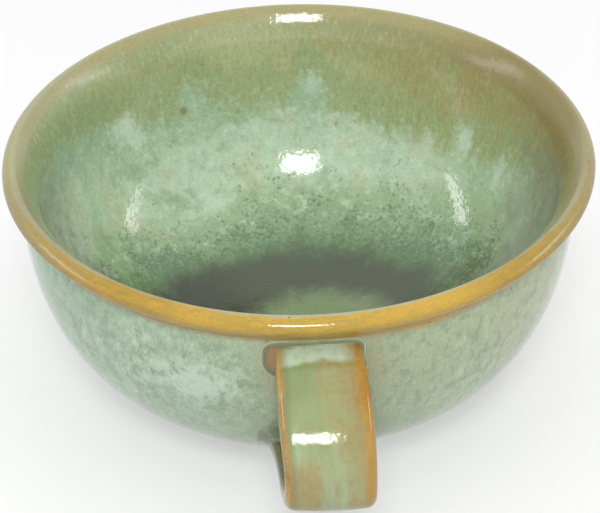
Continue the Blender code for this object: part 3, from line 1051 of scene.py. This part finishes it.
@dataclass
class BowlBody(Piece):
    """Turned bowl with its leaning rim, and the masks of its glaze."""

    shape: BowlShape
    rows: int = 250
    columns: int = 320
    curtain_edge: tuple[float, ...] = (0.0265, 0.0300, 0.0195, 0.0175, 0.0190, 0.0170, 0.0125, 0.0215)
    drips: tuple[Patch, ...] = (
        Patch(7.0, 0.0, 4.2, 1.0, 0.0085), Patch(-22.5, 0.0, 4.2, 1.0, 0.0065),
        Patch(-64.0, 0.0, 11.0, 1.0, 0.0045),
    )
    blooms: tuple[Patch, ...] = (
        Patch(-44.0, 0.0210, 5.0, 0.0042, 0.95), Patch(-23.0, 0.0230, 3.0, 0.0060, 0.55),
        Patch(-40.0, 0.0262, 4.0, 0.0028, 0.70),
        Patch(7.5, 0.0205, 3.0, 0.0050, 0.75), Patch(18.0, 0.0275, 6.0, 0.0020, 0.55),
        Patch(51.0, 0.0258, 4.0, 0.0058, 0.90), Patch(67.0, 0.0280, 3.5, 0.0060, 0.75),
        Patch(-66.0, 0.0265, 4.5, 0.0060, 0.60), Patch(120.0, 0.0250, 9.0, 0.0050, 0.50),
        Patch(205.0, 0.0240, 8.0, 0.0060, 0.60), Patch(255.0, 0.0230, 7.0, 0.0050, 0.50),
    )
    browned: tuple[Patch, ...] = (
        Patch(42.0, 0.012, 20.0, 0.007), Patch(15.0, 0.010, 12.0, 0.005, 0.7),
        Patch(72.0, 0.004, 24.0, 0.010, 1.6), Patch(-130.0, 0.011, 25.0, 0.005, 0.6),
    )
    paled: tuple[Patch, ...] = (
        Patch(-13.0, 0.008, 14.0, 0.012, 0.75), Patch(-40.0, 0.010, 12.0, 0.008, 0.25),
        Patch(12.0, 0.017, 16.0, 0.012, 0.65),
    )
    shaded: tuple[Patch, ...] = (
        Patch(-34.0, 0.048, 16.0, 0.012, -0.0070), Patch(64.0, 0.042, 24.0, 0.010, 0.0040),
        Patch(-12.0, 0.045, 9.0, 0.004, 0.0030), Patch(-16.0, 0.061, 14.0, 0.006, -0.0022),
    )
    spots: tuple[Patch, ...] = (
        Patch(-26.0, 0.0232, 1.5, 0.0016), Patch(-11.5, 0.0262, 1.2, 0.0012, 0.8),
        Patch(14.5, 0.0300, 1.0, 0.0010, 0.8),
    )
    clouds: tuple[Patch, ...] = (
        Patch(204.0, 0.0240, 9.0, 0.0065, 0.85), Patch(222.0, 0.030, 26.0, 0.014, 0.35),
        Patch(140.0, 0.033, 20.0, 0.009, 0.30), Patch(60.0, 0.034, 24.0, 0.012, 0.5),
        Patch(320.0, 0.030, 30.0, 0.012, 0.45), Patch(270.0, 0.036, 28.0, 0.012, 0.35),
    )
    # Painted shade: fall added towards the sides and the handle, so that the darker bands of the inside
    # start higher there.
    painted_side_shade: float = 0.006
    side_full: float = 0.6
    pool_turn: float = math.radians(125.0)
    pool_offset: float = 0.0068
    pool_radius: float = 0.0177
    seat_half: tuple[float, float] = (0.0095, 0.0048)
    seat_fall: float = 0.0146
    seat_reach: float = 0.0034
    root_half: tuple[float, float] = (0.0120, 0.0034)
    root_fall: float = 0.0418
    lip_shift: Triple = (0.0016, -0.0005, 0.0005)
    lip_fronts: tuple[float, float] = (0.60, 0.86)

    def build(self) -> bpy.types.Object:
        """Turn the bowl and paint the runs and masks of its glaze."""
        outline = self.shape.outline(self.rows)
        azimuth = circle(self.columns)
        points = self.shape.turn(outline, azimuth)
        piece = skin(self.name, points[1:-1], points[[0, -1], 0])
        run, turn = np.meshgrid(outline.run[1:-1], azimuth, indexing="ij")
        degrees = np.degrees(turn)
        neck = self.shape.inside.neck
        front = (1 - np.cos(turn)) / 2
        # Painted shade: the falls grow towards the sides and the handle, which moves the darker bands of the
        # inside up there.
        sides = self.painted_side_shade * np.minimum(2 * front / self.side_full, 1.0)
        paint(
            piece,
            flow=np.stack([neck * np.sin(turn), neck * np.cos(turn), run], -1),
            run=run,
            fall=sides + weigh(self.shaded, degrees, -run) - run,
            curtain=self._curtain(degrees, -run),
            warm=(1 + np.sin(turn)) / 2,
            amber=front,
            lip=run + self._lip_shift(front),
            pool=self._pool(points[1:-1], run < 0),
            seat=self._seat(turn, run, self.seat_fall, self.seat_half),
            root=self._seat(turn, run, self.root_fall, self.root_half),
            cloud=np.minimum(weigh(self.clouds, degrees, run), 1.0),
        )
        masks = {"pale": self.paled, "brown": self.browned, "bloom": self.blooms, "spot": self.spots}
        paint(piece, **{name: np.minimum(weigh(mask, degrees, -run), 1.0) for name, mask in masks.items()})
        return piece

    def _lip_shift(self, front: Array) -> Array:
        """Shift of the lip's colours along the runs: the first size all round, less towards the handle."""
        back, turned, handle = self.lip_shift
        first, last = (smoothstep(front, start, 1.0) for start in self.lip_fronts)
        return (back + turned) * first - (handle * last + back)

    def _curtain(self, degrees: Array, fall: Array) -> Array:
        """Distance below the lower edge of the olive curtain.

        The edge is read between eight falls at even azimuths, and drips of pale glaze reach up into it.

        Args:
            degrees: Azimuths in degrees.
            fall: Falls down the inside.

        Returns:
            Distances in metres, negative in the curtain.
        """
        stops = np.arange(len(self.curtain_edge)) * 360.0 / len(self.curtain_edge)
        edge = np.interp(degrees, stops, self.curtain_edge, period=360.0)
        return fall - edge + weigh(self.drips, degrees, np.zeros_like(fall))

    def _pool(self, points: Array, inside: Array) -> Array:
        """Distance within the round edge of the pool on the floor, far outside it on other faces."""
        middle = (
            self.pool_offset * math.sin(self.pool_turn),
            self.shape.axis_y + self.pool_offset * math.cos(self.pool_turn),
        )
        distance = np.hypot(points[..., 0] - middle[0], points[..., 1] - middle[1])
        return np.where(inside, self.pool_radius - distance, -1.0)

    def _seat(self, turn: Array, run: Array, fall: float, half: tuple[float, float]) -> Array:
        """Thin glaze round a root of the strap: exp(-distance / reach) from a box on the wall.

        Args:
            turn: Azimuths.
            run: Runs, of which those on the outside count.
            fall: Run at the middle of the box.
            half: Half sides of the box, across and along.

        Returns:
            Weights from 0 to 1, on the outside only.
        """
        across = np.abs(turn - math.pi) * self.shape.outside.neck - half[0]
        along = np.abs(run - fall) - half[1]
        distance = np.hypot(np.maximum(across, 0.0), np.maximum(along, 0.0))
        return np.where(run > 0, np.exp(-distance / self.seat_reach), 0.0)


@dataclass
class FootRing(Piece):
    """Foot ring under the base, bare on its resting face."""

    shape: BowlShape
    width: float = 0.0056
    taper: float = 0.0006
    rounding: float = 0.0008
    seat_sink: float = 0.0002
    columns: int = 192
    arc_rows: int = 9
    side_rows: int = 8

    def build(self) -> bpy.types.Object:
        """Turn the ring: outside, rounded resting face, inside, and a seat just inside the base."""
        low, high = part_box(self.node)
        outer = (high.x - low.x) / 2
        inner = outer - self.width
        corner = np.linspace(0.0, math.pi / 2, self.arc_rows)
        side = np.linspace(0.0, 1.0, self.side_rows)[:-1]
        seat = np.linspace(inner, outer, self.side_rows)
        drop = self.taper + self.rounding
        top = self._underside(np.array([outer, inner])) + self.seat_sink
        radius = np.concatenate([
            outer - self.taper * side, outer - drop + self.rounding * np.cos(corner),
            inner + drop - self.rounding * np.sin(corner), inner + self.taper * (1 - side[1:]), seat[:-1],
        ])
        height = np.concatenate([
            top[0] + (self.rounding - top[0]) * side, self.rounding * (1 - np.sin(corner)),
            self.rounding * (1 - np.cos(corner)), self.rounding + (top[1] - self.rounding) * side[1:],
            self._underside(seat[:-1]) + self.seat_sink,
        ])
        points = revolve(radius, height, circle(self.columns), self.shape.axis_y)
        piece = skin(self.name, points)
        paint(piece, height=points[..., 2])
        return piece

    def _underside(self, radius: Array) -> Array:
        """Height of the bowl's underside at a radius: the belly curve's, or the flat base's if higher."""
        curve = self.shape.outside
        share = 1 - (radius / curve.neck) ** curve.fullness
        return np.maximum(self.shape.base_rise, self.shape.height - curve.pole * share ** (1 / curve.droop))


@dataclass(frozen=True)
class StrapShape:
    """Route and section of the strap handle."""

    bowl: BowlShape
    knuckle_radius: float
    width: float = 0.0187
    upper_width: float = 0.0172
    lower_width: float = 0.0220
    shifts: tuple[float, float] = (-0.0008, 0.0)
    waist: float = 0.0007
    waist_place: float = 0.47
    waist_reach: float = 0.13
    thickness: float = 0.0050
    root_thickness: float = 0.0062
    edge: float = 0.0020
    crown: float = 0.0005
    twist: float = 0.018
    root_blend: float = 0.32
    upper_depth: float = 0.0119
    knuckle_depth: float = 0.0282
    lower_depth: float = 0.0380
    upper_slope: float = math.radians(8.0)
    lower_slope: float = math.radians(20.0)
    upper_pull: float = 0.0130
    pull_above: float = 0.0112
    pull_below: float = 0.0070
    lower_pull: float = 0.0125
    root_sink: float = 0.0026

    @classmethod
    def from_frame(cls, bowl: BowlShape) -> "StrapShape":
        """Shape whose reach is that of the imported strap."""
        low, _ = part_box("handle_strap")
        return cls(bowl, bowl.axis_y - low.y)

    def _root(self, depth: float, out: Array) -> Array:
        """Start of the strap's middle line inside the wall, as (outwards, up)."""
        radius = float(self.bowl.outer_radius(np.array(depth)))
        return np.array([radius, self.bowl.height - depth]) - out * self.root_sink

    def route(self, rows: int) -> Array:
        """Middle line of the strap as (outwards, up): one cubic to the knuckle and one on to the lower root.

        A cubic is (1-t)^3 a + 3(1-t)^2 t b + 3(1-t) t^2 c + t^3 d. The line starts and ends inside the wall
        and runs straight down at the knuckle.

        Args:
            rows: Number of points, evenly spaced along the line.

        Returns:
            Points of shape (rows, 2).
        """
        upper_out = np.array([math.cos(self.upper_slope), -math.sin(self.upper_slope)])
        lower_out = np.array([math.cos(self.lower_slope), math.sin(self.lower_slope)])
        up = np.array([0.0, 1.0])
        upper = self._root(self.upper_depth, upper_out)
        lower = self._root(self.lower_depth, lower_out)
        knuckle = np.array([self.knuckle_radius - self.thickness / 2, self.bowl.height - self.knuckle_depth])
        leaving = upper + upper_out * (self.upper_pull + self.root_sink)
        coming = lower + lower_out * (self.lower_pull + self.root_sink)
        above = [upper, leaving, knuckle + up * self.pull_above, knuckle]
        below = [knuckle, knuckle - up * self.pull_below, coming, lower]
        t = np.linspace(0.0, 1.0, 4 * rows)[:, None]
        parts = [(1 - t) ** 3, 3 * (1 - t) ** 2 * t, 3 * (1 - t) * t ** 2, t ** 3]
        line = np.vstack([sum(p * q for p, q in zip(parts, ends)) for ends in (above, below)])
        length = running_length(line)
        spaced = np.linspace(0.0, length[-1], rows)
        return np.stack([np.interp(spaced, length, line[:, k]) for k in range(2)], -1)

    def root_share(self, share: Array) -> Array:
        """How much of a root's section shows: (1 - share / blend)^2, and none past the blend."""
        return np.maximum(1 - share / self.root_blend, 0.0) ** 2


@dataclass
class StrapHandle(Piece):
    """Pulled strap with rounded edges and a slightly crowned outer face."""

    shape: StrapShape
    rows: int = 180
    arc_columns: int = 12
    face_columns: int = 22
    side_columns: int = 3

    def _section(self) -> tuple[Array, Array, Array, Array, Array]:
        """Rounded rectangle as shares of its half sides and directions of its rounding.

        A point is share * (half side - edge) + edge * direction on each axis. The shares run between the
        four corners along the faces, where the direction is the face's normal.

        Returns:
            Shares across and through, directions across and through, and the corners' middle columns.
        """
        shares, ways, middles = [], [], []
        corners = [(1, 1), (-1, 1), (-1, -1), (1, -1)]
        for k, corner in enumerate(corners):
            start = k * math.pi / 2
            angle = start + np.linspace(0.0, math.pi / 2, self.arc_columns)
            middles.append(sum(len(part) for part in shares) + self.arc_columns // 2)
            shares.append(np.tile(np.array(corner, float), (self.arc_columns, 1)))
            ways.append(np.stack([np.cos(angle), np.sin(angle)], -1))
            count = self.face_columns if k % 2 == 0 else self.side_columns
            step = np.linspace(0.0, 1.0, count + 2)[1:-1, None]
            shares.append((1 - step) * np.array(corner) + step * np.array(corners[(k + 1) % 4]))
            ways.append(np.repeat(ways[-1][-1:], count, 0))
        share, way = np.vstack(shares), np.vstack(ways)
        return share[:, 0], share[:, 1], way[:, 0], way[:, 1], np.array(middles)

    def build(self) -> bpy.types.Object:
        """Carry the section along the route and paint the places that the glaze reads."""
        shape = self.shape
        route = shape.route(self.rows)
        along = np.linspace(0.0, 1.0, self.rows)
        tangent = np.gradient(route, axis=0)
        tangent /= np.linalg.norm(tangent, axis=1, keepdims=True)
        outward = np.stack([-tangent[:, 1], tangent[:, 0]], -1)
        upper, lower = shape.root_share(along), shape.root_share(1 - along)
        width = shape.width * (1 - upper - lower) + shape.upper_width * upper + shape.lower_width * lower
        thick = shape.thickness + (shape.root_thickness - shape.thickness) * (upper + lower)
        waist = shape.waist * np.exp(-(((along - shape.waist_place) / shape.waist_reach) ** 2))
        width = width - waist
        share_x, share_y, way_x, way_y, middles = self._section()
        half = (width / 2 - shape.edge)[:, None]
        x = half * share_x + shape.edge * way_x
        y = (thick / 2 - shape.edge)[:, None] * share_y + shape.edge * way_y
        across = x / (width / 2)[:, None]
        y = y + (shape.crown * (1 - across ** 2) + shape.twist * x) * (share_y + 1) / 2
        reach = route[:, None, 0] + y * outward[:, None, 0]
        height = route[:, None, 1] + y * outward[:, None, 1]
        shift = (np.linspace(*shape.shifts, self.rows) + waist / 2)[:, None]
        points = np.stack([x + shift, shape.bowl.axis_y - reach, height], -1)
        piece = skin(self.name, points, points[[0, -1]].mean(1))
        share, length = (np.repeat(row[:, None], x.shape[1], 1) for row in (along, running_length(route)))
        flow = np.stack([x, y, length], -1)
        paint(piece, across=across, along=share, rim=self._rim(x, y, middles), flow=flow)
        return piece

    @staticmethod
    def _rim(x: Array, y: Array, middles: Array) -> Array:
        """Distance round the section from the nearest of its rounded edges.

        Args:
            x: Places across the strap, a row for each section.
            y: Places through the strap.
            middles: Columns at the middles of the rounded edges.

        Returns:
            Distances of the shape of x.
        """
        steps = np.hypot(np.roll(x, -1, 1) - x, np.roll(y, -1, 1) - y)
        total = steps.sum(1)[:, None]
        place = np.cumsum(steps, 1) - steps
        gaps = np.abs(place[:, :, None] - place[:, None, middles])
        return np.minimum(gaps, total[:, :, None] - gaps).min(-1)


@dataclass
class SlipCollar(Piece):
    """Smoothed slip round one root of the strap: a hollow fillet with a fine bead along its outer edge."""

    strap: StrapShape
    depth: float
    slope: float
    width: float
    shift: float
    right: float
    left: float
    above: float
    below: float
    height: float
    bead: float = 0.00015
    bead_place: float = 0.88
    bead_reach: float = 0.07
    corner_power: float = 0.42
    clear: float = 0.0
    clear_half: float = 0.5
    columns: int = 160
    rows: int = 26
    route_rows: int = 200
    sink: float = 0.0008
    skirt: float = 1.005

    def build(self) -> bpy.types.Object:
        """Lay the fillet round the root, on the curved wall.

        Round the root, t runs from 0 at the strap to 1 at the outer edge. The collar stands off the wall by
        height * (1 - sqrt(1 - (1 - t)^2)) + bead * exp(-((t - place) / reach)^2), leans with the strap, and
        its spread blends from side to side with the squares of the outline's normal.

        Returns:
            The collar's object.
        """
        bowl = self.strap.bowl
        step = 1e-4
        radii = bowl.outer_radius(np.array([self.depth - step, self.depth + step]))
        lean = math.atan(float(np.diff(radii)[0]) / (2 * step))
        slant = math.cos(lean - self.slope)
        t = np.linspace(0.0, 1.0, self.rows)[:, None]
        off = self.height * (1 - np.sqrt(1 - (1 - t) ** 2))
        off = off + self.bead * np.exp(-(((t - self.bead_place) / self.bead_reach) ** 2))
        length = running_length(self.strap.route(self.route_rows))[-1]
        root = self.strap.root_share((off / slant + self.strap.root_sink) / length)
        wide = self.strap.width + (self.width - self.strap.width) * root
        thick = (self.strap.thickness + (self.strap.root_thickness - self.strap.thickness) * root) / slant
        angle = circle(self.columns)
        round_x, round_y = np.cos(angle), np.sin(angle)
        x = (wide / 2) * np.sign(round_x) * np.abs(round_x) ** self.corner_power
        y = (thick / 2) * np.sign(round_y) * np.abs(round_y) ** self.corner_power
        normal = np.stack([round_x * thick[-1], round_y * wide[-1]], -1)
        normal /= np.linalg.norm(normal, axis=1, keepdims=True)
        spread = (
            self.right * np.maximum(normal[:, 0], 0) ** 2 + self.left * np.maximum(-normal[:, 0], 0) ** 2
            + self.below * np.maximum(normal[:, 1], 0) ** 2 + self.above * np.maximum(-normal[:, 1], 0) ** 2
        )
        out = t * spread - self.sink * (1 - t) ** 4
        across = x + out * normal[:, 0] + self.shift
        down = y + out * normal[:, 1] - off * math.tan(self.slope - lean)
        across, down = (np.vstack([part, part[-1:] * self.skirt]) for part in (across, down))
        off = np.vstack([np.repeat(off, self.columns, 1), np.full((1, self.columns), -self.sink)])
        points = bowl.on_wall(across, self.depth + down * math.cos(lean), off)
        middle = bowl.on_wall(np.zeros(2), np.full(2, self.depth), np.array([self.height, -self.sink]))
        piece = skin(self.name, points, middle)
        shown = 1 - self.clear * smoothstep(-normal[:, 1], -self.clear_half, self.clear_half)
        paint(piece, inset=np.vstack([(1 - t) * spread * shown, np.zeros((1, self.columns))]))
        return piece


@dataclass(frozen=True)
class Softbox:
    """Rectangular lamp: its direction from the bowl, its size as angles, its brightness against white."""

    name: str
    azimuth: float
    elevation: float
    wide: float
    tall: float
    brightness: float
    roll: float = 0.0
    mirrored: bool = True
    distance: float = 1.4

    def make(self, aim: Vector) -> None:
        """Hang the lamp, turned to the bowl and rolled. Its power is brightness * pi * area.

        Args:
            aim: Place that the lamp faces.
        """
        turn, rise = math.radians(self.azimuth), math.radians(self.elevation)
        away = Vector((math.sin(turn) * math.cos(rise), -math.cos(turn) * math.cos(rise), math.sin(rise)))
        lamp = bpy.data.lights.new(self.name, "AREA")
        lamp.shape = "RECTANGLE"
        lamp.size = 2 * self.distance * math.tan(math.radians(self.wide) / 2)
        lamp.size_y = 2 * self.distance * math.tan(math.radians(self.tall) / 2)
        lamp.energy = self.brightness * math.pi * lamp.size * lamp.size_y
        stand = bpy.data.objects.new(self.name, lamp)
        stand.visible_glossy = self.mirrored
        stand.location = aim + away * self.distance
        stand.rotation_mode = "QUATERNION"
        rolled = Quaternion((0.0, 0.0, 1.0), math.radians(self.roll))
        stand.rotation_quaternion = away.to_track_quat("Z", "Y") @ rolled
        bpy.context.scene.collection.objects.link(stand)


@dataclass(frozen=True)
class PhotoCamera:
    """Camera of the photograph, by the place of the rim's middle in its frame of 600 by 513 pixels."""

    azimuth: float = math.radians(-4.5)
    elevation: float = math.radians(32.173)
    distance: float = 0.455
    focal_px: float = 2068.0
    frame_px: tuple[float, float] = (600.0, 513.0)
    rim_px: tuple[float, float] = (298.39, 141.71)
    sensor_mm: float = 36.0

    def make(self, rim: Vector) -> None:
        """Set the camera up and make it the scene's.

        It stands at its distance from the rim's middle, pitched and turned by the angles whose tangents are
        the rim's pixel offsets over the focal length.

        Args:
            rim: Middle of the rim.
        """
        rise = Vector((math.sin(self.azimuth), -math.cos(self.azimuth), 0.0))
        sight = rise * math.cos(self.elevation) + Vector((0.0, 0.0, math.sin(self.elevation)))
        place = rim + sight * self.distance
        pitch = self.elevation + math.atan((self.frame_px[1] / 2 - self.rim_px[1]) / self.focal_px)
        yaw = math.atan((self.frame_px[0] / 2 - self.rim_px[0]) / self.focal_px)
        back = rise * math.cos(pitch) + Vector((0.0, 0.0, math.sin(pitch)))
        right = Vector((math.cos(self.azimuth), math.sin(self.azimuth), 0.0))
        up = back.cross(right)
        cosine, sine = math.cos(yaw), math.sin(yaw)
        back, right = back * cosine - right * sine, right * cosine + back * sine
        lens = bpy.data.cameras.new("photo_camera")
        lens.sensor_fit = "HORIZONTAL"
        lens.sensor_width = self.sensor_mm
        lens.lens = self.focal_px * self.sensor_mm / self.frame_px[0]
        camera = bpy.data.objects.new("photo_camera", lens)
        turned = Matrix((right, up, back)).transposed().to_4x4()
        camera.matrix_world = Matrix.Translation(place) @ turned
        bpy.context.scene.collection.objects.link(camera)
        bpy.context.scene.camera = camera


@dataclass(frozen=True)
class Studio:
    """Pale floor, white surroundings, soft lamps and the camera."""

    shape: BowlShape
    floor_half: float = 2.0
    white: Colour = (1.0, 1.0, 1.0, 1.0)
    floor_colour: Colour = (0.50, 0.50, 0.50, 1.0)
    floor_glow: float = 0.42
    ambient: float = 0.42
    lamps: tuple[Softbox, ...] = (
        Softbox("key_softbox", -5.5, 47.0, 14.5, 12.5, 25.0),
        Softbox("front_panel", -5.0, 20.0, 64.0, 26.0, 1.3, mirrored=False),
        Softbox("top_panel", 0.0, 89.0, 54.0, 54.0, 1.35, mirrored=False),
        Softbox("right_softbox", 96.0, 23.0, 25.0, 6.0, 8.0, 20.0),
        Softbox("left_softbox", -98.0, 22.5, 28.0, 6.0, 8.0, -25.0),
    )

    def make(self) -> None:
        """Make the floor, the surroundings, the lamps and the camera."""
        self._floor()
        self._world()
        aim = Vector((0.0, self.shape.axis_y, self.shape.height / 2))
        for lamp in self.lamps:
            lamp.make(aim)
        PhotoCamera().make(Vector((0.0, self.shape.axis_y, self.shape.height)))
        bpy.context.scene.view_settings.view_transform = "Standard"
        LOG.info("studio with %d lamps", len(self.lamps))

    def _floor(self) -> None:
        """Lay a flat pale floor, which glows a little for what sees it, so that its shadow stays soft."""
        half = self.floor_half
        mesh = bpy.data.meshes.new("floor")
        corners = [(-half, -half, 0), (half, -half, 0), (half, half, 0), (-half, half, 0)]
        mesh.from_pydata(corners, [], [(0, 1, 2, 3)])
        floor = bpy.data.objects.new("floor", mesh)
        bpy.context.scene.collection.objects.link(floor)
        graph = GlazeGraph("pale_floor")
        glow = graph.times(graph.seen(), self.floor_glow)
        graph.feed(graph.shader, Base_Color=self.floor_colour, Roughness=1.0, Specular_IOR_Level=0.0)
        graph.feed(graph.shader, Emission_Color=self.white, Emission_Strength=glow)
        mesh.materials.append(graph.material)

    def _world(self) -> None:
        """White surroundings: at full strength where they are seen, weaker where they light the bowl."""
        world = bpy.data.worlds.new("white_surroundings")
        world.use_nodes = True
        bpy.context.scene.world = world
        graph = NodeGraph(world.node_tree)
        strength = graph.add("ShaderNodeMapRange")
        graph.feed(strength.inputs, Value=graph.seen(), To_Min=self.ambient, To_Max=1.0)
        background = graph.tree.nodes["Background"]
        graph.feed(background.inputs, Color=self.white, Strength=strength.outputs[0])


def main() -> None:
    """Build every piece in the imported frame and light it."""
    logging.basicConfig(level=logging.INFO, format="%(name)s: %(message)s")
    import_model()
    bowl = BowlShape.from_frame()
    strap = StrapShape.from_frame(bowl)
    slip = CollarGlaze("upper_collar_glaze")
    # Painted shade: the lower collar takes a darker copy of the collar glaze, for the shade under the
    # strap's lower arm.
    painted_shade_slip = CollarGlaze(
        "lower_collar_shaded_glaze", bead=srgb(122, 136, 106), pooled=srgb(104, 110, 82),
        crease=srgb(92, 94, 64), brown=srgb(96, 90, 56), wall=srgb(130, 146, 118),
    )
    pieces: list[Piece] = [
        BowlBody("glazed_bowl", "bowl_body", "bowl_glaze", SageGlaze("sage_glaze"), bowl),
        FootRing("clay_foot", "foot_ring", "bare_stoneware", BareClay("bare_clay"), bowl),
        StrapHandle("glazed_strap", "handle_strap", "handle_glaze", StrapGlaze("strap_glaze"), strap),
        SlipCollar(
            "upper_collar", "upper_slip_collar", "collar_glaze", slip, strap, strap.upper_depth,
            -strap.upper_slope, strap.upper_width, strap.shifts[0],
            right=0.0010, left=0.0030, above=0.0016, below=0.0036, height=0.0018,
        ),
        SlipCollar(
            "lower_collar", "lower_slip_collar", "collar_glaze", painted_shade_slip, strap, strap.lower_depth,
            strap.lower_slope, strap.lower_width, strap.shifts[1],
            right=0.0018, left=0.0027, above=0.0005, below=0.0034, height=0.0042, bead=0.0, clear=0.75,
        ),
    ]
    for piece in pieces:
        piece.make()
    Studio(bowl).make()


if __name__ == "__main__":
    main()
